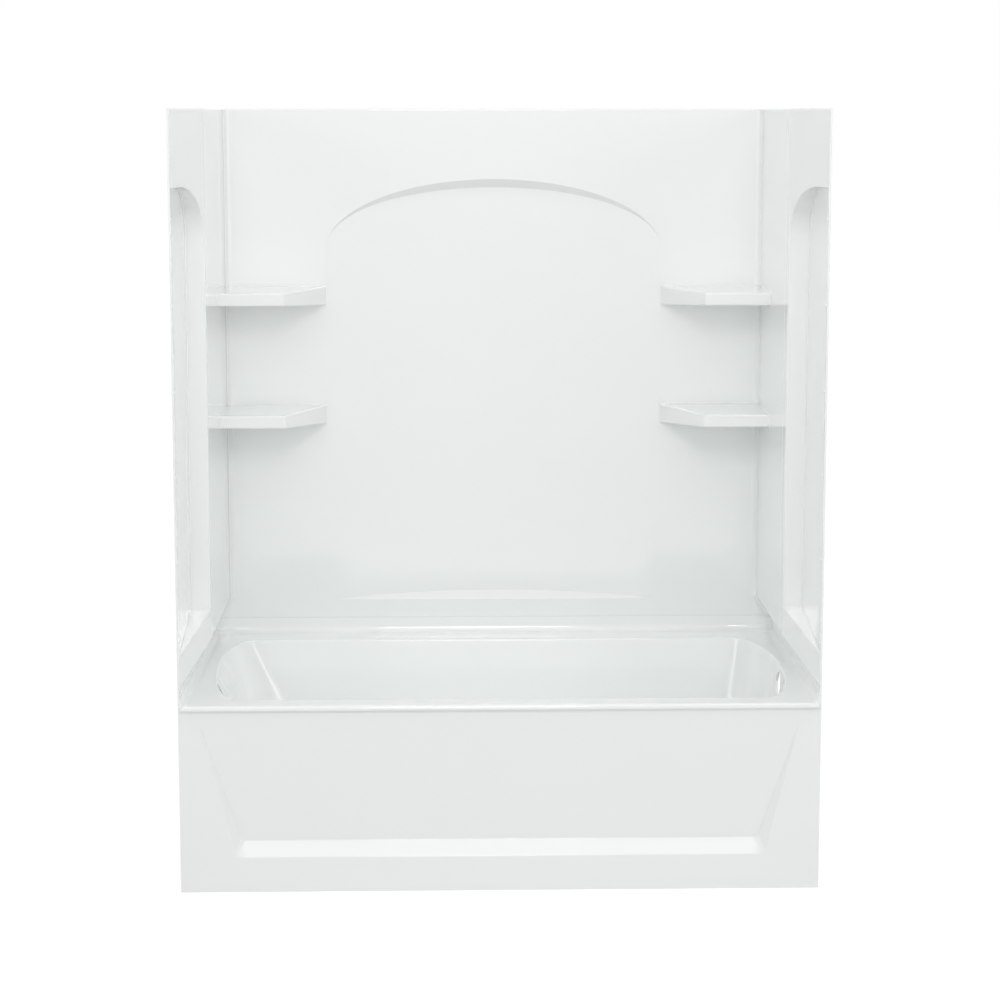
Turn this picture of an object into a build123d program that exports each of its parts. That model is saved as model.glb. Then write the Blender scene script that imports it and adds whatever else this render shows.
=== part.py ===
from build123d import *

import math
import os

# A bath and shower unit for an alcove: a bath and three wall panels, four thin white mouldings
# that are bolted together behind their faces, with soft strips in the joints between them.
# X runs along the bath, Y runs from the apron to the back wall, and Z = 0 is the floor.

# Driving sizes in millimetres
width = 1524
depth = 813
height = 1854
rim_height = 457
skin = 5
overrun = 10
flank_angle = 45

# The inner face of the three walls in plan: it runs in to a ridge, then back to the corners
ridge_inset = 53
ridge_setback = 308
bay_corner_inset = 56
back_inset = 30
corner_radius = 20
ridge_radius = 40
wall_edge_radius = 4

# The bath's own alcove, which the walls' foot flares out to, and the joints between mouldings
alcove_side_inset = 14
alcove_back_inset = 23
alcove_corner_radius = 36
flare_height = 64
flare_margin = 2
ledge_rise = 39
cove_radius = 18
base_gasket_thickness = 2
base_gasket_margin = 1
joint_gasket_thickness = 1
joint_gasket_margin = 0.3
joint_setback = 350

# The arched recess in the back wall, which is bowed in plan and sharp only at its sides
arch_side_inset = 319
arch_sill_rise = 48
crown_inset = 183
arch_rise = 186
arch_depth = 22

# The half arch recessed in each end wall
end_crown_setback = 95
end_step_margin = 10
end_arch_rise = 125
end_sill_back_rise = 126
end_sill_front_rise = 74

# Corner shelves, two in each back corner
shelf_rises = (577, 892)
shelf_reach = 206
shelf_front_inset = 222
shelf_front_drop = 4
shelf_front_height = 32
shelf_back_height = 50
shelf_edge_radius = 4
shelf_corner_radius = 10

# The bath's basin: its mouth in the deck, and how far its floor is drawn in from the mouth
mouth_left_inset = 58
mouth_right_inset = 47
mouth_front = 63
back_deck_depth = 94
mouth_left_crest_inset = 249
mouth_left_front_bulge = 82
mouth_left_back_bulge = 68
mouth_right_bulge = 80
mouth_radius = 6
floor_z = 87
floor_side_run = 67
floor_left_run = 144
floor_right_run = 25
floor_bulge_share = 0.53
floor_radius = 60

# Waste and overflow holes at the right-hand end
drain_diameter = 50.8
drain_inset = 165
overflow_diameter = 63.5
overflow_drop = 48

# The rim's rolled front edge and the apron below it
lip_depth = 11
lip_height = 11
lip_end_inset = 4
lip_radius = 8
lip_corner_radius = 10
apron_foot = 36
panel_top_drop = 60
panel_bottom_z = 85
panel_top_inset = 55
panel_bottom_inset = 131
panel_depth = 32
panel_side_run = 23
panel_foot_run = 38
panel_corner_radius = 26
apron_end_return = 50

# Fixing holes along the front edge of each end wall
nail_hole_diameter = 5
nail_hole_setback = 12
nail_hole_count = 6
nail_hole_bottom_inset = 28
nail_hole_top_inset = 71

# Bolts, washers and nuts
bolt_diameter = 6
bolt_clearance = 0.5
bolt_head_across = 10
bolt_head_height = 4
bolt_tail = 3
nut_height = 5
nut_clearance = 0.2
washer_diameter = 12
washer_thickness = 1.2
washer_clearance = 0.4
joint_bolt_count = 6
joint_bolt_bottom_inset = 82
joint_bolt_top_inset = 94
joint_bolt_side_inset = 25
base_bolt_count = 6
base_bolt_side_inset = 137
base_bolt_back_inset = 9

# Boards bonded behind the back wall
board_thickness = 12
board_width = 200
board_inset = 22
lower_board_rise = 101
lower_board_height = 380
upper_board_top_inset = 44
upper_board_height = 370

# Boards and runners under the bath
base_board_thickness = 18
base_board_end_margin = 80
base_board_side_margin = 61
base_board_radius = 30
drain_access_diameter = 120
runner_width = 38
runner_overhang = 30
runner_end_inset = 165
runner_screw_diameter = 4
runner_screw_length = 45
runner_screw_head = 8
runner_screw_inset = 35
runner_screw_clearance = 0.2
rim_board_thickness = 15
rim_board_side_inset = 172
front_rim_board_width = 28
back_rim_board_width = 60
brace_thickness = 15
brace_foot_depth = 70
brace_top_depth = 30
brace_knee_drop = 197
brace_side_inset = 342

# Places worked out from the driving sizes
half_width = width / 2
front_y = -depth / 2
front_half = half_width - skin
ridge_half = half_width - ridge_inset
bay_corner_half = half_width - bay_corner_inset
alcove_half = half_width - alcove_side_inset
alcove_back_setback = depth - alcove_back_inset
back_setback = depth - back_inset
flare_top_half = bay_corner_half - flare_margin
flare_back_setback = back_setback - flare_margin
ledge_z = rim_height + ledge_rise
wall_foot_z = ledge_z + base_gasket_thickness
back_joint_setback = joint_setback + joint_gasket_thickness
bay_slope = (bay_corner_half - ridge_half) / (back_setback - ridge_setback)
wall_front_setback = lip_depth
deck_underside_z = rim_height - skin
flank_growth = (1 - math.sin(math.radians(flank_angle))) / math.cos(math.radians(flank_angle))
arch_half = half_width - arch_side_inset
arch_sill_z = wall_foot_z + arch_sill_rise
crown_z = height - crown_inset
spring_z = crown_z - arch_rise
end_spring_z = crown_z - end_arch_rise
end_step_setback = ridge_setback - end_step_margin
shelf_tops_z = [wall_foot_z + rise for rise in shelf_rises]
shelf_front_setback = back_setback - shelf_reach
shelf_front_half = half_width - shelf_front_inset
mouth_left_half = half_width - mouth_left_inset
mouth_right_half = half_width - mouth_right_inset
mouth_back = back_setback - back_deck_depth
basin_middle = (mouth_front + mouth_back) / 2
mouth_left_crest = mouth_back - mouth_left_crest_inset
floor_left_half = mouth_left_half - floor_left_run
floor_right_half = mouth_right_half - floor_right_run
floor_front = mouth_front + floor_side_run
floor_back = mouth_back - floor_side_run
floor_bulge = floor_bulge_share * (floor_back - floor_front) / 2
floor_centre_x = (floor_right_half - floor_left_half) / 2
drain_x = floor_right_half - drain_inset
overflow_z = rim_height - overflow_drop
panel_top_z = rim_height - panel_top_drop
panel_top_half = half_width - panel_top_inset
panel_bottom_half = half_width - panel_bottom_inset
runner_height = floor_z - skin - base_board_thickness


def back_from_front(setback):
    """Y of a place that lies this far behind the front edge of the rim."""
    return front_y + setback


def bay_half(setback):
    """Half width between the end walls behind the ridge."""
    return ridge_half + bay_slope * (setback - ridge_setback)


def facing_back(setback):
    """Upright plane whose normal points at the back wall."""
    return Plane(origin=(0, back_from_front(setback), 0), x_dir=(-1, 0, 0), z_dir=(0, 1, 0))


def wall_plan(level, growth):
    """Plan of the space between the three walls, grown outwards."""
    ridge = back_from_front(ridge_setback)
    back = back_from_front(back_setback) + growth
    right = [
        (front_half + growth, back_from_front(-overrun)),
        (front_half + growth, back_from_front(wall_front_setback)),
        (ridge_half + growth, ridge),
        (bay_corner_half + growth, back),
    ]
    left = [(-x, y) for x, y in reversed(right)]
    with BuildSketch(Plane.XY.offset(level)) as plan:
        with BuildLine():
            Polyline(*right, *left, close=True)
        make_face()
        fillet(plan.vertices().group_by(Axis.Y)[-2], ridge_radius - growth)
        fillet(plan.vertices().group_by(Axis.Y)[-1], corner_radius + growth)
    return plan.sketch


def straight_plan(level, front_reach, back_reach, back, radius):
    """Plan of a space between straight sides that is open past the front edge."""
    right = [
        (front_reach, back_from_front(-overrun)),
        (front_reach, back_from_front(wall_front_setback)),
        (back_reach, back),
    ]
    left = [(-x, y) for x, y in reversed(right)]
    with BuildSketch(Plane.XY.offset(level)) as plan:
        with BuildLine():
            Polyline(*right, *left, close=True)
        make_face()
        fillet(plan.vertices().group_by(Axis.Y)[-1], radius)
    return plan.sketch


def alcove_plan(level, growth):
    """Plan of the bath's own alcove, grown outwards."""
    back = back_from_front(alcove_back_setback) + growth
    radius = alcove_corner_radius + growth
    return straight_plan(level, front_half + growth, alcove_half + growth, back, radius)


def flare_form(growth):
    """The space at the walls' foot as a solid, which narrows upwards from the bath's alcove."""
    reach = flare_top_half + growth
    back = back_from_front(flare_back_setback) + growth
    top = straight_plan(wall_foot_z + flare_height, reach, reach, back, corner_radius + growth)
    with BuildPart() as form:
        loft([alcove_plan(wall_foot_z, growth), top], ruled=True)
    return form.part


def plan_between(front, back, level, space, mode):
    """Plan between the studs from one setback to another, cut back from a space or to it."""
    with BuildSketch(Plane.XY.offset(level)) as plan:
        with Locations((0, back_from_front((front + back) / 2))):
            Rectangle(width, back - front)
        add(space, mode=mode)
    return plan.sketch


def basin_section(level, left_end, right_end, front, back):
    """Plan of the basin at one level. An end is its half length, crest setback and two bulges."""
    front_line = back_from_front(front)
    back_line = back_from_front(back)
    left, left_crest, left_front, left_back = left_end
    right, right_crest, right_front, right_back = right_end
    left_y = back_from_front(left_crest)
    right_y = back_from_front(right_crest)
    front_left = (left_front - left, left_y)
    back_left = (left_back - left, left_y)
    back_right = (right - right_back, right_y)
    front_right = (right - right_front, right_y)
    with BuildSketch(Plane.XY.offset(level)) as section:
        with BuildLine():
            Line((right - right_front, front_line), (left_front - left, front_line))
            EllipticalCenterArc(front_left, left_front, left_y - front_line, 180, arc_size=90)
            EllipticalCenterArc(back_left, left_back, back_line - left_y, 90, arc_size=90)
            Line((left_back - left, back_line), (right - right_back, back_line))
            EllipticalCenterArc(back_right, right_back, back_line - right_y, 0, arc_size=90)
            EllipticalCenterArc(front_right, right_front, right_y - front_line, 270, arc_size=90)
        make_face()
    return section.sketch


def basin_end(half, crest, front_bulge, back_bulge, growth):
    """One end of a basin section, grown outwards."""
    return half + growth, crest, front_bulge + growth, back_bulge + growth


def basin_form(growth, top_z):
    """The basin as a solid, grown outwards and downwards."""
    mouth = basin_section(
        top_z,
        basin_end(mouth_left_half, mouth_left_crest, mouth_left_front_bulge, mouth_left_back_bulge, growth),
        basin_end(mouth_right_half, basin_middle, mouth_right_bulge, mouth_right_bulge, growth),
        mouth_front - growth,
        mouth_back + growth,
    )
    floor = basin_section(
        floor_z - growth,
        basin_end(floor_left_half, mouth_left_crest, floor_bulge, floor_bulge, growth),
        basin_end(floor_right_half, basin_middle, floor_bulge, floor_bulge, growth),
        floor_front - growth,
        floor_back + growth,
    )
    with BuildPart() as form:
        loft([mouth, floor])
        fillet(form.faces().sort_by(Axis.Z)[0].edges(), floor_radius + growth)
    return form.part


def apron_outline(setback, side_inset, foot_inset, top):
    """Outline of the apron's sunk panel, drawn in at its sides and foot."""
    flare = (panel_top_half - panel_bottom_half) / (panel_top_z - panel_bottom_z)
    bottom = panel_bottom_z + foot_inset
    bottom_half = panel_bottom_half - side_inset + flare * foot_inset
    top_half = bottom_half + flare * (top - bottom)
    with BuildSketch(facing_back(setback)) as outline:
        with BuildLine():
            Polyline(
                (-top_half, top), (-bottom_half, bottom), (bottom_half, bottom), (top_half, top), close=True
            )
        make_face()
    return outline.sketch


def apron_form(growth):
    """The apron's sunk panel as a solid, with sloping sides and foot."""
    front = back_from_front(lip_depth)
    panel_rise = panel_top_z - panel_bottom_z
    side_slope = panel_side_run / panel_depth
    foot_slope = panel_foot_run / panel_depth
    side_growth = growth * (math.hypot(1, side_slope) - side_slope)
    foot_growth = growth * (math.hypot(1, foot_slope) - foot_slope)
    top = panel_top_z + growth * panel_rise / panel_depth
    deepest = panel_depth + growth + skin
    panel_face = Plane((0, front + growth, panel_top_z), x_dir=(1, 0, 0), z_dir=(0, panel_rise, panel_depth))
    outer = apron_outline(lip_depth, -side_growth, -foot_growth, top)
    side_inset = deepest * side_slope - side_growth
    foot_inset = deepest * foot_slope - foot_growth
    inner = apron_outline(lip_depth + deepest, side_inset, foot_inset, top)
    with BuildPart() as form:
        loft([outer, inner], ruled=True)
        level_edges = form.edges().filter_by(Plane.XZ)
        corner_edges = form.edges() - level_edges
        fillet(corner_edges.group_by(Axis.Z)[0], panel_corner_radius)
        split(bisect_by=panel_face, keep=Keep.BOTTOM)
    return form.part


def arch_form(growth):
    """The back wall's bowed arch as a solid, with a sloping crown and sill."""
    edge_growth = growth * flank_growth
    half = arch_half + edge_growth
    foot = arch_sill_z - edge_growth
    rise = arch_rise + edge_growth
    face_y = back_from_front(back_setback)
    bow_front = face_y - overrun
    bow_radius = (arch_half**2 + arch_depth**2) / (2 * arch_depth)
    bow_half = math.sqrt((bow_radius + growth) ** 2 - (bow_radius - arch_depth) ** 2)
    with BuildSketch(facing_back(back_setback)) as face:
        with BuildLine():
            Polyline((half, spring_z), (half, foot), (-half, foot), (-half, spring_z))
            EllipticalCenterArc((0, spring_z), half, rise, 0, arc_size=180)
        make_face()
    with BuildSketch(Plane.XY) as bow:
        with BuildLine():
            ThreePointArc((-bow_half, face_y), (0, face_y + arch_depth + growth), (bow_half, face_y))
            Polyline((bow_half, face_y), (bow_half, bow_front), (-bow_half, bow_front), (-bow_half, face_y))
        make_face()
    with BuildPart() as form:
        extrude(face.sketch, amount=arch_depth + growth + skin, taper=flank_angle)
        extrude(bow.sketch, amount=height, mode=Mode.INTERSECT)
    return form.part


def end_recess_form(growth):
    """The right end wall's half arch as a solid, open at the front edge."""
    front = back_from_front(0) - overrun
    crown = back_from_front(end_crown_setback)
    step = back_from_front(end_step_setback) + growth
    top = crown_z + growth
    front_sill = wall_foot_z + end_sill_front_rise - growth
    back_sill = wall_foot_z + end_sill_back_rise - growth
    with BuildSketch(Plane.YZ.offset(front_half + growth)) as side:
        with BuildLine():
            EllipticalCenterArc((crown, end_spring_z), step - crown, end_arch_rise + growth, 0, arc_size=90)
            Polyline(
                (crown, top),
                (front, top),
                (front, front_sill),
                (back_from_front(0), front_sill),
                (step, back_sill),
                (step, end_spring_z),
            )
        make_face()
    with BuildPart() as form:
        extrude(side.sketch, amount=-(front_half + growth - ridge_half + overrun))
    return form.part


def shelf_form(top_z, inset, plan_radius, edge_radius):
    """One shelf on the right-hand side as a solid, drawn in from its faces, with its front rounded."""
    front = back_from_front(shelf_front_setback) + inset
    back = back_from_front(back_setback) + skin
    outer = bay_half(back_setback) + skin
    run = shelf_front_half - arch_half
    slant_inset = inset * math.hypot(run, shelf_reach) / shelf_reach
    front_corner = shelf_front_half + slant_inset - inset * run / shelf_reach
    back_corner = arch_half + slant_inset - skin * run / shelf_reach
    front_top = top_z - shelf_front_drop - inset
    front_bottom = top_z - shelf_front_drop - shelf_front_height + inset
    top_slope = shelf_front_drop / shelf_reach
    bottom_slope = (shelf_back_height - shelf_front_drop - shelf_front_height) / shelf_reach
    depth_of_cut = back - front + overrun
    with BuildSketch(Plane.XY) as plan:
        with BuildLine():
            Polyline((outer, front), (front_corner, front), (back_corner, back), (outer, back), close=True)
        make_face()
    with BuildSketch(Plane.YZ) as side:
        with BuildLine():
            Polyline(
                (front - overrun, front_top - top_slope * overrun),
                (front + depth_of_cut, front_top + top_slope * depth_of_cut),
                (front + depth_of_cut, front_bottom - bottom_slope * depth_of_cut),
                (front - overrun, front_bottom + bottom_slope * overrun),
                close=True,
            )
        make_face()
    with BuildPart() as form:
        extrude(plan.sketch, amount=height)
        extrude(side.sketch, amount=width, mode=Mode.INTERSECT)
        if edge_radius > 0:
            front_edges = form.edges().filter_by(Axis.Z).group_by(Axis.Y)[0]
            fillet(front_edges.sort_by(Axis.X)[0], plan_radius)
            rim = form.faces().sort_by(Axis.Z)[-1].edges() + form.faces().sort_by(Axis.Z)[0].edges()
            rim = rim.filter_by_position(Axis.X, 0, outer - skin)
            rim = rim.filter_by_position(Axis.Y, front_y, back - skin)
            fillet(rim, edge_radius)
    return form.part


os.makedirs("parts", exist_ok=True)
parts = []


def finish(part, name):
    """Labels a finished piece and writes it out."""
    part.label = name
    export_step(part, f"parts/{name}.step")
    parts.append(part)


# The bath is one moulding: deck, basin, apron, and an upstand and ledge that carry the walls
with BuildPart() as lip:
    with BuildSketch(Plane.XY.offset(rim_height - lip_height)) as lip_plan:
        with Locations((0, back_from_front((lip_depth + skin) / 2))):
            Rectangle(2 * (half_width - lip_end_inset), lip_depth + skin)
        fillet(lip_plan.vertices().group_by(Axis.Y)[0], lip_corner_radius)
    extrude(amount=lip_height)
    fillet(lip.edges().group_by(Axis.Z)[-1].sort_by(Axis.Y)[0], lip_radius)

deck_space = alcove_plan(deck_underside_z, skin)
deck_plan = plan_between(wall_front_setback, depth, deck_underside_z, deck_space, Mode.INTERSECT)
ledge_space = alcove_plan(ledge_z - skin, 0)
ledge_plan = plan_between(wall_front_setback, depth, ledge_z - skin, ledge_space, Mode.SUBTRACT)
with BuildPart() as upstand_space:
    extrude(alcove_plan(rim_height, 0), amount=ledge_rise)
    cove_edges = upstand_space.edges().group_by(Axis.Z)[0]
    fillet(cove_edges.filter_by_position(Axis.Y, front_y, -front_y), cove_radius)

basin_shell = basin_form(skin, deck_underside_z)
basin_space = basin_form(0, rim_height)
sunk_panel = apron_form(0)
sunk_panel_shell = apron_form(skin)
drain_end_slope = floor_right_run / (rim_height - floor_z)
overflow_plane = Plane(
    (mouth_right_half - drain_end_slope * overflow_drop, back_from_front(basin_middle), overflow_z),
    x_dir=(0, 1, 0),
    z_dir=(1, 0, -drain_end_slope),
)
with BuildPart() as tub_shell:
    extrude(deck_plan, amount=ledge_z - deck_underside_z)
    extrude(ledge_plan, amount=skin)
    add(upstand_space.part, mode=Mode.SUBTRACT)
    with BuildSketch(Plane.XY) as skirt:
        with Locations((0, back_from_front(lip_depth + skin / 2))):
            Rectangle(width, skin)
        return_x = half_width - skin / 2
        return_y = back_from_front(lip_depth + apron_end_return / 2)
        with Locations((-return_x, return_y), (return_x, return_y)):
            Rectangle(skin, apron_end_return)
    extrude(amount=deck_underside_z)
    with BuildSketch(Plane.XY) as foot:
        with Locations((0, back_from_front(lip_depth + apron_foot / 2))):
            Rectangle(width, apron_foot)
    extrude(amount=skin)
    add(sunk_panel_shell)
    add(sunk_panel, mode=Mode.SUBTRACT)
    add(lip.part)
    add(basin_shell)
    add(basin_space, mode=Mode.SUBTRACT)
    with Locations((drain_x, back_from_front(basin_middle), floor_z)):
        Hole(drain_diameter / 2)
    with BuildSketch(overflow_plane) as overflow:
        Circle(overflow_diameter / 2)
    extrude(amount=3 * skin, both=True, mode=Mode.SUBTRACT)
    mouth_edges = tub_shell.edges().filter_by_position(Axis.Z, rim_height, rim_height)
    mouth_edges = mouth_edges.filter_by_position(Axis.X, -mouth_left_half, mouth_right_half)
    mouth_edges = mouth_edges.filter_by_position(
        Axis.Y, back_from_front(mouth_front), back_from_front(mouth_back)
    )
    fillet(mouth_edges, mouth_radius)
    base_bolt_reach = half_width - base_bolt_side_inset
    base_bolt_y = back_from_front(depth - base_bolt_back_inset)
    base_bolt_places = [
        (base_bolt_reach * (2 * i / (base_bolt_count - 1) - 1), base_bolt_y) for i in range(base_bolt_count)
    ]
    with Locations(*[(x, y, ledge_z) for x, y in base_bolt_places]):
        Hole((bolt_diameter + bolt_clearance) / 2, depth=skin)
finish(tub_shell.part, "tub_shell")

# Each end wall is a tray: a splayed face with a half arch sunk in it, and returns at its edges
nail_hole_y = back_from_front(wall_front_setback + nail_hole_setback)
nail_hole_bottom_z = wall_foot_z + end_sill_front_rise + nail_hole_bottom_inset
nail_hole_top_z = crown_z - nail_hole_top_inset
nail_hole_pitch = (nail_hole_top_z - nail_hole_bottom_z) / (nail_hole_count - 1)
joint_bolt_bottom_z = wall_foot_z + joint_bolt_bottom_inset
joint_bolt_pitch = (height - joint_bolt_top_inset - joint_bolt_bottom_z) / (joint_bolt_count - 1)
joint_bolt_levels = [joint_bolt_bottom_z + i * joint_bolt_pitch for i in range(joint_bolt_count)]
joint_bolt_half = half_width - joint_bolt_side_inset
end_recess = end_recess_form(0)
end_recess_shell = end_recess_form(skin)
inner_z = wall_foot_z + skin
flare = flare_form(0)
flare_shell = flare_form(skin)
face_space = wall_plan(wall_foot_z, 0)
hollow_space = wall_plan(inner_z, skin)
end_face_plan = plan_between(wall_front_setback, joint_setback, wall_foot_z, face_space, Mode.SUBTRACT)
end_space_plan = plan_between(wall_front_setback, joint_setback - skin, inner_z, hollow_space, Mode.SUBTRACT)
with BuildPart() as end_space:
    extrude(end_space_plan, amount=height - wall_foot_z - 2 * skin)
    split(bisect_by=Plane.YZ)
    add(flare_shell, mode=Mode.SUBTRACT)
    add(end_recess_shell, mode=Mode.SUBTRACT)

with BuildPart() as right_end_wall:
    extrude(end_face_plan, amount=height - wall_foot_z)
    split(bisect_by=Plane.YZ)
    add(flare, mode=Mode.SUBTRACT)
    add(end_recess, mode=Mode.SUBTRACT)
    add(end_space.part, mode=Mode.SUBTRACT)
    top_edges = right_end_wall.edges().filter_by_position(Axis.Z, height, height)
    top_edges = top_edges.filter_by_position(Axis.X, 0, front_half)
    end_wall_front = back_from_front(wall_front_setback)
    end_wall_back = back_from_front(joint_setback)
    top_edges = top_edges.filter_by_position(Axis.Y, end_wall_front, end_wall_back, inclusive=(False, False))
    fillet(top_edges, wall_edge_radius)
    for level in joint_bolt_levels:
        with Locations(Plane((joint_bolt_half, back_from_front(joint_setback), level), z_dir=(0, 1, 0))):
            Hole((bolt_diameter + bolt_clearance) / 2, depth=skin)
    for i in range(nail_hole_count):
        level = nail_hole_bottom_z + i * nail_hole_pitch
        with Locations(Plane((half_width, nail_hole_y, level), z_dir=(1, 0, 0))):
            Hole(nail_hole_diameter / 2, depth=skin)
finish(right_end_wall.part, "right_end_wall")

with BuildPart() as left_end_wall:
    mirror(right_end_wall.part, about=Plane.YZ)
finish(left_end_wall.part, "left_end_wall")

# The back wall is a tray too, and turns both corners to carry the shelves
back_face_plan = plan_between(back_joint_setback, depth, wall_foot_z, face_space, Mode.SUBTRACT)
back_space_plan = plan_between(back_joint_setback + skin, depth, inner_z, hollow_space, Mode.SUBTRACT)
arch = arch_form(0)
arch_shell = arch_form(skin)
shelves = [shelf_form(top_z, 0, shelf_corner_radius, shelf_edge_radius) for top_z in shelf_tops_z]
shelf_spaces = [shelf_form(top_z, skin, 0, 0) for top_z in shelf_tops_z]
with BuildPart() as back_space:
    extrude(back_space_plan, amount=height - wall_foot_z - 2 * skin)
    add(flare_shell, mode=Mode.SUBTRACT)
    add(arch_shell, mode=Mode.SUBTRACT)
    for space in shelf_spaces:
        add(space)
        mirror(space, about=Plane.YZ)

with BuildPart() as back_wall:
    extrude(back_face_plan, amount=height - wall_foot_z)
    for shelf in shelves:
        add(shelf)
        mirror(shelf, about=Plane.YZ)
    add(flare, mode=Mode.SUBTRACT)
    add(arch, mode=Mode.SUBTRACT)
    add(back_space.part, mode=Mode.SUBTRACT)
    top_edges = back_wall.edges().filter_by_position(Axis.Z, height, height)
    top_edges = top_edges.filter_by_position(Axis.X, -ridge_half, ridge_half)
    back_wall_front = back_from_front(back_joint_setback)
    back_wall_back = back_from_front(back_setback)
    top_edges = top_edges.filter_by_position(Axis.Y, back_wall_front, back_wall_back, inclusive=(False, True))
    fillet(top_edges, wall_edge_radius)
    with Locations(*[(x, y, inner_z) for x, y in base_bolt_places]):
        Hole((bolt_diameter + bolt_clearance) / 2, depth=skin)
    for level in joint_bolt_levels:
        for side in (-1, 1):
            flange = (side * joint_bolt_half, back_from_front(back_joint_setback + skin), level)
            with Locations(Plane(flange, z_dir=(0, 1, 0))):
                Hole((bolt_diameter + bolt_clearance) / 2, depth=skin)
finish(back_wall.part, "back_wall")

# Soft strips lie in the upright joints and under the walls
joint_strip_inner = bay_half(joint_setback) + joint_gasket_margin
joint_strip_width = half_width - joint_gasket_margin - joint_strip_inner
with BuildPart() as right_joint_gasket:
    with BuildSketch(Plane.XY.offset(wall_foot_z)) as strip:
        with Locations((
            joint_strip_inner + joint_strip_width / 2,
            back_from_front(joint_setback + joint_gasket_thickness / 2),
        )):
            Rectangle(joint_strip_width, joint_gasket_thickness)
    extrude(amount=height - wall_foot_z)
    for level in joint_bolt_levels:
        with Locations(Plane((joint_bolt_half, back_from_front(back_joint_setback), level), z_dir=(0, 1, 0))):
            Hole((bolt_diameter + bolt_clearance) / 2, depth=joint_gasket_thickness)
    add(flare_form(joint_gasket_margin), mode=Mode.SUBTRACT)
finish(right_joint_gasket.part, "right_joint_gasket")

with BuildPart() as left_joint_gasket:
    mirror(right_joint_gasket.part, about=Plane.YZ)
finish(left_joint_gasket.part, "left_joint_gasket")

base_strip_space = alcove_plan(ledge_z, base_gasket_margin)
base_strip_reach = half_width - base_gasket_margin
base_strips = {
    "back_base_gasket": (joint_setback, depth - base_gasket_margin, 0),
    "right_base_gasket": (wall_front_setback + base_gasket_margin, joint_setback, 1),
    "left_base_gasket": (wall_front_setback + base_gasket_margin, joint_setback, -1),
}
for name, (front, back, side) in base_strips.items():
    with BuildPart() as base_gasket:
        with BuildSketch(Plane.XY.offset(ledge_z)) as strip:
            with Locations((side * base_strip_reach / 2, back_from_front((front + back) / 2))):
                Rectangle(base_strip_reach * (2 - abs(side)), back - front)
            add(base_strip_space, mode=Mode.SUBTRACT)
        extrude(amount=base_gasket_thickness)
        if side == 0:
            with Locations(*[(x, y, wall_foot_z) for x, y in base_bolt_places]):
                Hole((bolt_diameter + bolt_clearance) / 2, depth=base_gasket_thickness)
    finish(base_gasket.part, name)


# Each joint is pulled together by bolts with a washer under the head and under the nut
def bolt_form(grip):
    """A hexagon bolt whose shank rises from Z = 0 through what it grips."""
    length = grip + 2 * washer_thickness + nut_height + bolt_tail
    with BuildPart() as bolt:
        with BuildSketch(Plane.XY.offset(-bolt_head_height)) as head:
            RegularPolygon(bolt_head_across / 2, 6, major_radius=False)
        extrude(amount=bolt_head_height)
        with BuildSketch(Plane.XY) as shank:
            Circle(bolt_diameter / 2)
        extrude(amount=length)
        chamfer(bolt.edges().group_by(Axis.Z)[-1], bolt_clearance)
    return bolt.part


def washer_form(level):
    """A flat washer that rises from a level."""
    with BuildPart() as washer:
        with BuildSketch(Plane.XY.offset(level)) as ring:
            Circle(washer_diameter / 2)
            Circle((bolt_diameter + washer_clearance) / 2, mode=Mode.SUBTRACT)
        extrude(amount=washer_thickness)
    return washer.part


def nut_form(level):
    """A hexagon nut that rises from a level."""
    with BuildPart() as nut:
        with BuildSketch(Plane.XY.offset(level)) as ring:
            RegularPolygon(bolt_head_across / 2, 6, major_radius=False)
            Circle((bolt_diameter + nut_clearance) / 2, mode=Mode.SUBTRACT)
        extrude(amount=nut_height)
    return nut.part


def write_fasteners(name, seats, grip):
    """Writes the bolts, washers and nuts that grip one joint, from seats under the bolt heads."""
    bolt = bolt_form(grip)
    nut = nut_form(grip + 2 * washer_thickness)
    under_head = washer_form(0)
    under_nut = washer_form(grip + washer_thickness)
    with BuildPart() as bolts:
        with Locations(*seats):
            add(bolt)
    finish(bolts.part, f"{name}_bolts")
    with BuildPart() as washers:
        with Locations(*seats):
            add(under_head)
            add(under_nut)
    finish(washers.part, f"{name}_washers")
    with BuildPart() as nuts:
        with Locations(*seats):
            add(nut)
    finish(nuts.part, f"{name}_nuts")


joint_grip = 2 * skin + joint_gasket_thickness
joint_seat_y = back_from_front(joint_setback - skin - washer_thickness)
for name, side in (("left_joint", -1), ("right_joint", 1)):
    seats = [
        Plane((side * joint_bolt_half, joint_seat_y, level), x_dir=(1, 0, 0), z_dir=(0, 1, 0))
        for level in joint_bolt_levels
    ]
    write_fasteners(name, seats, joint_grip)

base_grip = 2 * skin + base_gasket_thickness
base_seats = [Plane((x, y, ledge_z - skin - washer_thickness)) for x, y in base_bolt_places]
write_fasteners("base", base_seats, base_grip)

# Boards bonded to the back of the wall stiffen it beside the arch
board_centre = arch_half + board_inset + board_width / 2
board_setback = back_setback + skin
for name, level, board_height in (
    ("lower", wall_foot_z + lower_board_rise, lower_board_height),
    ("upper", height - upper_board_top_inset - upper_board_height, upper_board_height),
):
    for side_name, side in (("left", -1), ("right", 1)):
        with BuildPart() as wall_board:
            with BuildSketch(Plane.XY.offset(level)) as section:
                with Locations((side * board_centre, back_from_front(board_setback + board_thickness / 2))):
                    Rectangle(board_width, board_thickness)
            extrude(amount=board_height)
        finish(wall_board.part, f"{name}_{side_name}_wall_board")

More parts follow.
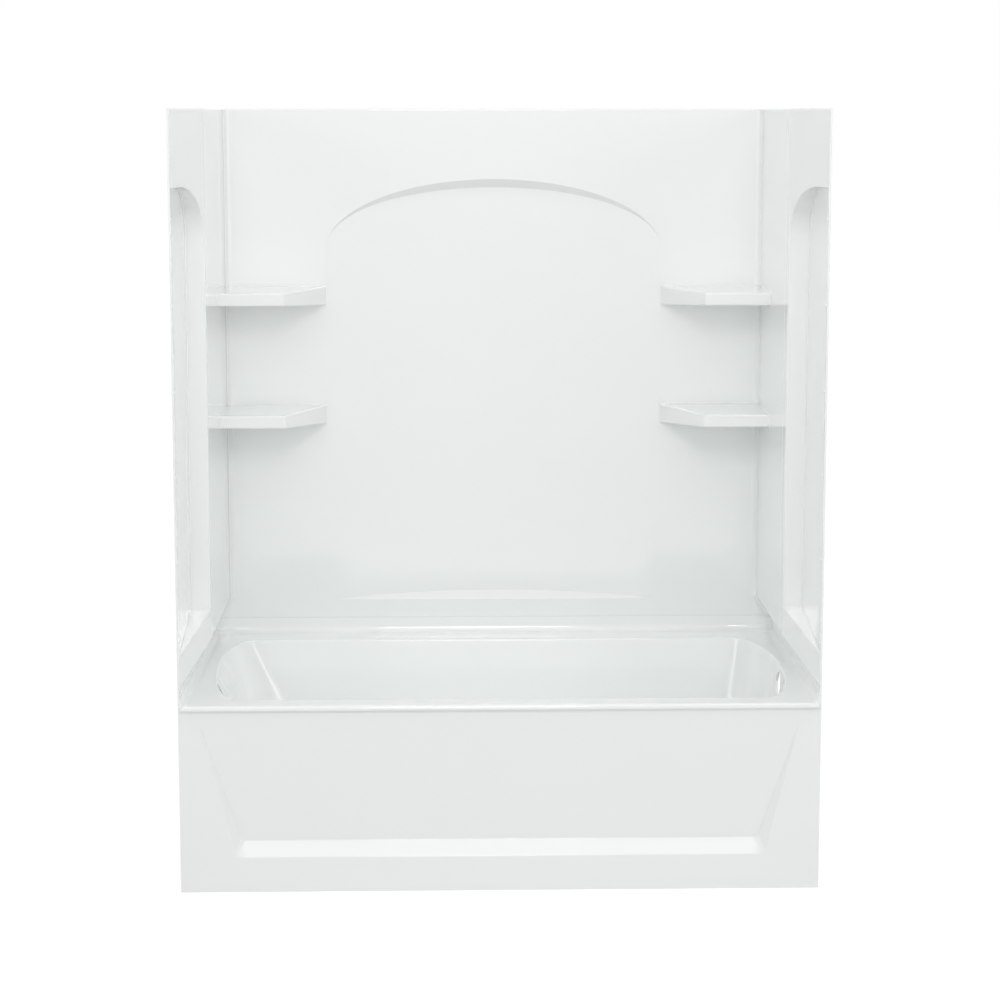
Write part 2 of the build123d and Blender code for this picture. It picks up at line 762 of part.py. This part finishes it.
# A board bonded under the basin's floor stands on three runners and is screwed to them
board_top_z = floor_z - skin
base_board_length = floor_left_half + floor_right_half - 2 * base_board_end_margin
base_board_width = floor_back - floor_front - 2 * base_board_side_margin
runner_spacing = base_board_length / 2 - runner_end_inset
runner_screw_spacing = base_board_width - 2 * runner_screw_inset
runner_places = [floor_centre_x + runner_spacing * i for i in (-1, 0, 1)]
screw_places = [
    (x, back_from_front(basin_middle) + side * runner_screw_spacing / 2)
    for x in runner_places
    for side in (-1, 1)
]
screw_hole = runner_screw_diameter + runner_screw_clearance
head_hole = runner_screw_head + runner_screw_clearance
with BuildPart() as base_board:
    with BuildSketch(Plane.XY.offset(runner_height)) as outline:
        with Locations((floor_centre_x, back_from_front(basin_middle))):
            RectangleRounded(base_board_length, base_board_width, base_board_radius)
    extrude(amount=base_board_thickness)
    with Locations((drain_x, back_from_front(basin_middle), board_top_z)):
        Hole(drain_access_diameter / 2)
    with Locations(*[(x, y, board_top_z) for x, y in screw_places]):
        CounterBoreHole(screw_hole / 2, head_hole / 2, runner_screw_head / 2)
finish(base_board.part, "base_board")

for name, x in zip(("left", "middle", "right"), runner_places):
    with BuildPart() as runner:
        with BuildSketch(Plane.XY) as section:
            with Locations((x, back_from_front(basin_middle))):
                Rectangle(runner_width, base_board_width + 2 * runner_overhang)
        extrude(amount=runner_height)
        with Locations(*[(px, py, runner_height) for px, py in screw_places if px == x]):
            Hole(screw_hole / 2, depth=runner_screw_length - base_board_thickness + runner_screw_head / 2)
    finish(runner.part, f"{name}_runner")

screw_head_z = board_top_z - runner_screw_head / 2
with BuildPart() as runner_screws:
    with BuildSketch(Plane.XY.offset(screw_head_z)) as heads:
        with Locations(*screw_places):
            Circle(runner_screw_head / 2)
    extrude(amount=runner_screw_head / 2 - runner_screw_clearance)
    with BuildSketch(Plane.XY.offset(screw_head_z)) as shanks:
        with Locations(*screw_places):
            Circle(runner_screw_diameter / 2)
    extrude(amount=-(runner_screw_length - runner_screw_head / 2))
finish(runner_screws.part, "runner_screws")

# Boards bonded under the rim keep it level, and three braces hold the apron off the basin
for name, front, board_reach in (
    ("front_rim_board", lip_depth + skin, front_rim_board_width),
    ("back_rim_board", mouth_back + skin + overrun, back_rim_board_width),
):
    with BuildPart() as rim_board:
        with BuildSketch(Plane.XY.offset(deck_underside_z - rim_board_thickness)) as section:
            with Locations((0, back_from_front(front + board_reach / 2))):
                Rectangle(width - 2 * rim_board_side_inset, board_reach)
        extrude(amount=rim_board_thickness)
    finish(rim_board.part, name)

brace_front = back_from_front(lip_depth + skin)
brace_top_z = deck_underside_z - rim_board_thickness
brace_knee_z = rim_height - brace_knee_drop
brace_spacing = half_width - brace_side_inset
for name, side in (("left", -1), ("middle", 0), ("right", 1)):
    with BuildPart() as apron_brace:
        with BuildSketch(Plane.YZ.offset(side * brace_spacing - brace_thickness / 2)) as section:
            with BuildLine():
                Polyline(
                    (brace_front, skin),
                    (brace_front + brace_foot_depth, skin),
                    (brace_front + brace_foot_depth, brace_knee_z),
                    (brace_front + brace_top_depth, brace_top_z),
                    (brace_front, brace_top_z),
                    close=True,
                )
            make_face()
        extrude(amount=brace_thickness)
        add(sunk_panel_shell, mode=Mode.SUBTRACT)
    finish(apron_brace.part, f"{name}_apron_brace")
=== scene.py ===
import math

import bpy
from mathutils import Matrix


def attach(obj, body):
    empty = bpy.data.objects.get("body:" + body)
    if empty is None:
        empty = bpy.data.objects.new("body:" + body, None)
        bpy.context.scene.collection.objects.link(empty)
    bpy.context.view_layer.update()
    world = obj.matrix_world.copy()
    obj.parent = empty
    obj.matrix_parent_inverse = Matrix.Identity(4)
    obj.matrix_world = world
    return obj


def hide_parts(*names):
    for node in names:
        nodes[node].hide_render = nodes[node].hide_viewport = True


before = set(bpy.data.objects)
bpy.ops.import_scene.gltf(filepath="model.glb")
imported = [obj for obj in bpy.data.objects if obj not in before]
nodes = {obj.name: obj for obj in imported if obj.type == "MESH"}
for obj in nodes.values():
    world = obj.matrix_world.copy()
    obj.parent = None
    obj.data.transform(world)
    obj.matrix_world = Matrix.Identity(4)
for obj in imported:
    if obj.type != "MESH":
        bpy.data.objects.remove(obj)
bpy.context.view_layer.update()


# The bath is one sheet of white plastic drawn over a mould, glossy on the side that is seen. The
# mould leaves a fine orange peel, long soft waves and rounded edges. Its underside is left rough,
# with the chopped fibres that stiffen it showing.
class Value:
    """A number or colour that varies over a surface, for shader maths written as plain sums."""

    def __init__(self, maker, socket):
        self.maker = maker
        self.socket = socket

    def maths(self, operation, *terms):
        return self.maker.node("ShaderNodeMath", {"operation": operation}, dict(enumerate(terms)))

    def __add__(self, other):
        return self.maths("ADD", self, other)

    def __sub__(self, other):
        return self.maths("SUBTRACT", self, other)

    def __rsub__(self, other):
        return self.maths("SUBTRACT", other, self)

    def __mul__(self, other):
        return self.maths("MULTIPLY", self, other)

    __radd__ = __add__
    __rmul__ = __mul__

    def larger(self, other):
        return self.maths("MAXIMUM", self, other)

    def waves(self, length):
        """Repeats 0 to 1 and back once in every such length."""
        return self.maths("SINE", self * (math.tau / length)).above(0, 1)

    def above(self, level, softness):
        """0 below a level and 1 above it, with a soft step."""
        ends = {"Value": self, "From Min": level - softness, "From Max": level + softness}
        return self.maker.node("ShaderNodeMapRange", {"interpolation_type": "SMOOTHSTEP"}, ends)

    def between(self, low, high):
        """Spreads 0 to 1 over low to high."""
        ends = {"Value": self, "To Min": low, "To Max": high}
        return self.maker.node("ShaderNodeMapRange", {}, ends)

    def colours(self, low, high):
        """Mixes two colours, fixed or varying, by the value."""
        ends = {"Factor": self, "A": low, "B": high}
        return self.maker.node("ShaderNodeMix", {"data_type": "RGBA"}, ends)


class Maker:
    """Adds the nodes of one material, or of the room around the unit."""

    def __init__(self, tree):
        self.tree = tree

    def node(self, kind, settings, sockets, output=""):
        """Adds a node with its settings, then the values or links of its sockets."""
        made = self.tree.nodes.new(kind)
        for setting, value in settings.items():
            setattr(made, setting, value)
        for socket, value in sockets.items():
            if isinstance(value, Value):
                self.tree.links.new(value.socket, made.inputs[socket])
            elif isinstance(value, tuple) and made.inputs[socket].type == "RGBA":
                made.inputs[socket].default_value = (*value, 1)
            else:
                made.inputs[socket].default_value = value
        outputs = [socket for socket in made.outputs if socket.enabled and output in socket.name]
        return Value(self, outputs[0])


class Finish(Maker):
    """A procedural material on one Principled shader, laid out in the object's own coordinates."""

    def __init__(self, name, fixed):
        self.material = bpy.data.materials.new(name)
        self.material.use_nodes = True
        super().__init__(self.material.node_tree)
        self.shader = self.tree.nodes["Principled BSDF"]
        for socket, value in fixed.items():
            self.shader.inputs[socket].default_value = value
        self.bump = None

    def place(self, axis):
        """One of the object's own coordinates."""
        coordinates = self.node("ShaderNodeTexCoord", {}, {}, output="Object")
        return self.node("ShaderNodeSeparateXYZ", {}, {0: coordinates}, output=axis)

    def facing(self, axis):
        """How far the surface faces along an axis."""
        normal = self.node("ShaderNodeTexCoord", {}, {}, output="Normal")
        return self.node("ShaderNodeSeparateXYZ", {}, {0: normal}, output=axis)

    def noise(self, scale, detail, stretch=(1, 1, 1), distortion=0.0):
        """Cloudy noise whose scale is per metre, stretched along the axes with a small number."""
        coordinates = self.node("ShaderNodeTexCoord", {}, {}, output="Object")
        place = self.node("ShaderNodeMapping", {}, {"Vector": coordinates, "Scale": stretch})
        sockets = {"Vector": place, "Scale": scale, "Detail": detail, "Distortion": distortion}
        return self.node("ShaderNodeTexNoise", {}, sockets)

    def set(self, socket, value):
        self.tree.links.new(value.socket, self.shader.inputs[socket])

    def relief(self, shape, height):
        """Adds a bump of this height in metres on top of those before it."""
        sockets = {"Height": shape, "Distance": height}
        if self.bump:
            sockets["Normal"] = self.bump
        self.bump = self.node("ShaderNodeBump", {}, sockets)
        self.set("Normal", self.bump)


def moulding_finish(name, rear_mask):
    """Glossy white plastic, whose rough rear is shown where the mask is 1."""
    dull_white, clear_white = (0.918, 0.936, 0.930), (0.935, 0.950, 0.944)
    dark_fibre, pale_fibre = (0.66, 0.665, 0.64), (0.80, 0.80, 0.775)
    rear_roughness = 0.45
    wave_height, peel_height, fibre_height = 0.0012, 0.000012, 0.0006
    clear_coat = {"Coat Weight": 0.8, "Coat Roughness": 0.02, "Coat IOR": 1.5}
    finish = Finish(name, {"IOR": 1.49, **clear_coat})
    rear = rear_mask(finish)
    face = finish.noise(scale=3.0, detail=3.0).colours(dull_white, clear_white)
    fibres = finish.noise(scale=90.0, detail=6.0, stretch=(1, 1, 7), distortion=2.5)
    bare = fibres.colours(dark_fibre, pale_fibre)
    finish.set("Base Color", rear.colours(face, bare))
    gloss = finish.noise(scale=40.0, detail=4.0).between(0.05, 0.10)
    finish.set("Roughness", gloss + rear * rear_roughness)
    finish.relief(finish.noise(scale=1.6, detail=1.0), wave_height)
    finish.relief(finish.noise(scale=420.0, detail=1.0), peel_height)
    finish.relief(fibres * rear, fibre_height)
    return finish.material


def mould(name, material, sharpness, rounded):
    """A copy of a moulding in its node's place, with facets merged and chosen edges rounded.

    An edge is rounded where it is sharper than this angle in degrees and where rounded, which is
    given its middle and the way it faces, says so.
    """
    weld_distance, flat_angle = 0.00002, 0.2
    round_width, round_steps, crease_angle = 0.002, 3, 32
    bpy.ops.object.select_all(action="DESELECT")
    piece = bpy.data.objects.new(f"moulded_{name}", nodes[name].data.copy())
    bpy.context.scene.collection.objects.link(piece)
    piece.select_set(True)
    bpy.context.view_layer.objects.active = piece
    bpy.ops.object.mode_set(mode="EDIT")
    bpy.ops.mesh.select_all(action="SELECT")
    bpy.ops.mesh.remove_doubles(threshold=weld_distance)
    bpy.ops.mesh.dissolve_limited(angle_limit=math.radians(flat_angle))
    bpy.ops.mesh.select_all(action="DESELECT")
    bpy.ops.mesh.select_mode(type="EDGE")
    bpy.ops.mesh.edges_select_sharp(sharpness=math.radians(sharpness))
    bpy.ops.object.mode_set(mode="OBJECT")
    for part in (piece.data.vertices, piece.data.polygons):
        part.foreach_set("select", [False] * len(part))
    for edge in piece.data.edges:
        start, end = (piece.data.vertices[i] for i in edge.vertices)
        edge.select = edge.select and rounded((start.co + end.co) / 2, start.normal + end.normal)
    bpy.ops.object.mode_set(mode="EDIT")
    rounding = {"offset": round_width, "segments": round_steps, "clamp_overlap": False}
    bpy.ops.mesh.bevel(affect="EDGES", **rounding)
    # Face-weighted normals between marked creases keep the flats flat beside the rounded edges.
    bpy.ops.mesh.select_all(action="DESELECT")
    bpy.ops.mesh.edges_select_sharp(sharpness=math.radians(crease_angle))
    bpy.ops.mesh.mark_sharp()
    bpy.ops.object.mode_set(mode="OBJECT")
    bpy.ops.mesh.customdata_custom_splitnormals_clear()
    bpy.ops.object.shade_smooth()
    bpy.ops.object.modifier_add(type="WEIGHTED_NORMAL")
    piece.modifiers[0].keep_sharp = True
    bpy.ops.object.modifier_apply(modifier=piece.modifiers[0].name)
    piece.data.materials.clear()
    piece.data.materials.append(material)
    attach(piece, "root")
    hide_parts(name)


def under_bath(finish):
    """1 on what faces down behind the apron's panel, and on the apron's back."""
    panel_y, apron_back_y = -0.361, -0.353
    faces_down = 1 - finish.facing("Z").above(-0.03, softness=0.02)
    behind_panel = finish.place("Y").above(panel_y, softness=0.001)
    faces_back = finish.facing("Y").above(0.5, softness=0.1)
    at_apron = 1 - finish.place("Y").above(apron_back_y, softness=0.003)
    return (faces_down * behind_panel).larger(faces_back * at_apron)


def on_apron_panel(middle, outward):
    """Whether an edge lies on the front of the sunk panel."""
    foot_z, top_z, half_width, deepest_y = 0.06, 0.41, 0.715, -0.355
    on_panel = foot_z < middle.z < top_z and abs(middle.x) < half_width
    return on_panel and middle.y < deepest_y and outward.y < 0


slope_angle = 24
mould("tub_shell", moulding_finish("bath_plastic", under_bath), slope_angle, on_apron_panel)


# The three walls are the same plastic as the bath, drawn as shallow trays and trimmed at their
# edges. They stand on the bath's ledge and are bolted to it and to each other from behind.
def behind_walls(finish):
    """1 on what faces away from an upright line in front of the shower."""
    line_y = -0.8
    across = finish.place("X") * finish.facing("X")
    along = (finish.place("Y") - line_y) * finish.facing("Y")
    return (across + along).above(0.15, softness=0.05)


joint_y = nodes["left_joint_gasket"].data.vertices[0].co.y


def in_shower(middle, outward):
    """Whether an edge is seen from inside and lies clear of the joints between the mouldings."""
    foot_z, top_z, joint_margin = 0.51, 1.84, 0.01
    faces_in = middle.x * outward.x + (middle.y - joint_y) * outward.y < 0
    return faces_in and foot_z < middle.z < top_z and abs(middle.y - joint_y) > joint_margin


step_angle = 54
wall_plastic = moulding_finish("wall_plastic", behind_walls)
for name in ("back_wall", "left_end_wall", "right_end_wall"):
    mould(name, wall_plastic, step_angle, in_shower)


# Strips of pale closed-cell foam lie in the upright joints and under the walls. They are cut
# from sheet, and the joint's bolts squeeze them flat.
def dress(material, *endings):
    """Gives a material to every node whose name has one of these endings."""
    for name, node in nodes.items():
        if name.endswith(endings):
            node.data.materials.clear()
            node.data.materials.append(material)


foam_grey, foam_white = (0.80, 0.82, 0.81), (0.88, 0.90, 0.89)
cell_depth = 0.0003
foam = Finish("foam_strip", {"Roughness": 0.8})
foam.set("Base Color", foam.noise(scale=60.0, detail=4.0).colours(foam_grey, foam_white))
foam.relief(foam.noise(scale=900.0, detail=2.0), cell_depth)
dress(foam.material, "_gasket")


# The bolts, washers, nuts and screws are steel, rolled or stamped and then zinc plated, with a
# cloudy bluish film and fine marks from the tools.
blue_film, bright_film = (0.55, 0.57, 0.60), (0.74, 0.74, 0.72)
mark_depth = 0.00003
zinc = Finish("zinc_plate", {"Metallic": 1.0})
zinc.set("Base Color", zinc.noise(scale=140.0, detail=4.0).colours(blue_film, bright_film))
tool_marks = zinc.noise(scale=900.0, detail=3.0, stretch=(1, 1, 6))
zinc.set("Roughness", tool_marks.between(0.22, 0.45))
zinc.relief(tool_marks, mark_depth)
dress(zinc.material, "_bolts", "_washers", "_nuts", "_screws")


# Four boards of birch plywood are bonded behind the back wall, two beside the arch and two above
# the shelves. Their faces show long grain and their edges the stacked plies.
def plywood(name, stretch, through):
    """Plywood whose grain is long where the stretch is small, with plies across one axis."""
    dark_grain, light_grain = (0.42, 0.28, 0.15), (0.66, 0.49, 0.31)
    dark_patch, light_patch = (0.50, 0.35, 0.20), (0.72, 0.56, 0.37)
    two_plies, grain_depth = 0.0048, 0.0004
    finish = Finish(name, {})
    grain = finish.noise(scale=30.0, detail=8.0, stretch=stretch, distortion=0.6)
    patch = finish.noise(scale=3.0, detail=3.0, stretch=stretch)
    face = grain.colours(dark_grain, light_grain)
    pale = patch.colours(dark_patch, light_patch)
    plies = finish.place(through).waves(two_plies)
    finish.set("Base Color", plies.between(0.25, 0.6).colours(face, pale))
    finish.set("Roughness", grain.between(0.5, 0.75))
    finish.relief(grain, grain_depth)
    return finish.material


dress(plywood("wall_plywood", stretch=(6, 2, 0.4), through="Y"), "_wall_board")


# A board of the same plywood is bonded under the basin, and two more under the rim, which they
# keep level. The one under the basin has a round hole that clears the waste.
dress(plywood("flat_plywood", stretch=(0.4, 6, 2), through="Z"), "base_board", "_rim_board")


# Three runners under the base board stand on the floor, and three braces hold the apron off the
# basin. They are sawn softwood, with broad growth bands and saw marks across the grain.
def softwood(name, stretch):
    """Sawn softwood whose grain is long where the stretch is small."""
    late_wood, early_wood = (0.60, 0.42, 0.24), (0.78, 0.61, 0.40)
    band, saw_depth = 0.16, 0.0003
    finish = Finish(name, {})
    rings = finish.noise(scale=22.0, detail=2.0, stretch=stretch, distortion=1.4)
    finish.set("Base Color", rings.waves(band).colours(late_wood, early_wood))
    finish.set("Roughness", rings.between(0.6, 0.85))
    finish.relief(finish.noise(scale=300.0, detail=3.0), saw_depth)
    return finish.material


dress(softwood("runner_pine", stretch=(1.5, 0.12, 1.5)), "_runner")
dress(softwood("brace_pine", stretch=(1.5, 1.5, 0.12)), "_brace")


# The studio is a wide floor painted light grey in a white room. To the camera, and in the gloss
# of the mouldings, both read as plain white, and the floor still keeps the bath's shadow.
def seen_itself(maker):
    """1 for the camera and for what gloss or glass shows it, 0 for the light on the unit."""
    seen = maker.node("ShaderNodeLightPath", {}, {}, output="Is Camera Ray")
    for ray in ("Is Glossy Ray", "Is Transmission Ray"):
        seen = seen.larger(maker.node("ShaderNodeLightPath", {}, {}, output=ray))
    return seen


floor_width = 60
grey_paint, pale_paint = (0.72, 0.72, 0.72), (0.75, 0.75, 0.75)
glow_strength, glow_share = 1.95, 0.4
bpy.ops.object.select_all(action="DESELECT")
bpy.ops.mesh.primitive_plane_add(size=floor_width, location=(0, 0, 0))
floor = bpy.context.active_object
floor.name = "studio_floor"
paint = Finish("studio_paint", {"Roughness": 0.9, "Specular IOR Level": 0.1})
paint.set("Base Color", paint.noise(scale=0.8, detail=3.0).colours(grey_paint, pale_paint))
painted = Value(paint, paint.shader.outputs[0])
glow = paint.node("ShaderNodeEmission", {}, {"Color": (1, 1, 1), "Strength": glow_strength})
looks = {0: seen_itself(paint) * glow_share, 1: painted, 2: glow}
floor_look = paint.node("ShaderNodeMixShader", {}, looks)
paint.tree.links.new(floor_look.socket, paint.tree.nodes["Material Output"].inputs["Surface"])
floor.data.materials.append(paint.material)

room_light, room_seen = 0.58, 1.0
world = bpy.data.worlds.new("studio_room")
bpy.context.scene.world = world
world.use_nodes = True
world.node_tree.nodes.remove(world.node_tree.nodes["Background"])
room = Maker(world.node_tree)
lighting = room.node("ShaderNodeBackground", {}, {"Color": (1, 1, 1), "Strength": room_light})
backdrop = room.node("ShaderNodeBackground", {}, {"Color": (1, 1, 1), "Strength": room_seen})
looks = {0: seen_itself(room), 1: lighting, 2: backdrop}
room_look = room.node("ShaderNodeMixShader", {}, looks)
room.tree.links.new(room_look.socket, room.tree.nodes["World Output"].inputs["Surface"])


# Four softboxes light the unit: one high in front, a large one above, and one at either side.
# The moulding is a white hollow, so light is followed through many reflections inside it.
def lamp(name, place, aim, size, watts):
    """A softbox with its middle at a place, turned to a point that it aims at."""
    light = bpy.data.lights.new(name, "AREA")
    light.shape = "RECTANGLE"
    light.size, light.size_y = size
    light.energy = watts
    holder = bpy.data.objects.new(name, light)
    bpy.context.scene.collection.objects.link(holder)
    holder.location = place
    away = holder.location.copy()
    for i in range(3):
        away[i] = place[i] - aim[i]
    holder.rotation_euler = away.to_track_quat("Z", "Y").to_euler()


lamp("key_softbox", (0, -3.4, 2.95), aim=(0, 0.2, 1.0), size=(0.9, 0.9), watts=22)
lamp("overhead_softbox", (0, -1.4, 3.8), aim=(0, 0.1, 0.8), size=(3.0, 2.0), watts=17)
lamp("left_softbox", (-3.6, -3.6, 2.2), aim=(0, 0, 0.9), size=(2.0, 2.4), watts=20)
lamp("right_softbox", (3.6, -3.6, 2.2), aim=(0, 0, 0.9), size=(2.0, 2.4), watts=26)
bpy.context.scene.cycles.diffuse_bounces = 12
bpy.context.scene.cycles.max_bounces = 16


# The camera stands where the photograph was taken from, level with the top of the walls. It is
# pitched down at the unit, and its lens is shifted only a little, because other views keep that.
pitch, yaw = 7.67, -1.36
lens = bpy.data.cameras.new("photo_camera")
lens.lens = 82.56
lens.sensor_width = 36
lens.shift_y = -0.075
lens.clip_end = 100
camera = bpy.data.objects.new("photo_camera", lens)
bpy.context.scene.collection.objects.link(camera)
camera.location = (-0.127, -5.682, 1.835)
camera.rotation_euler = (math.radians(90 - pitch), 0, math.radians(yaw))
bpy.context.scene.camera = camera
bpy.context.scene.view_settings.view_transform = "Standard"
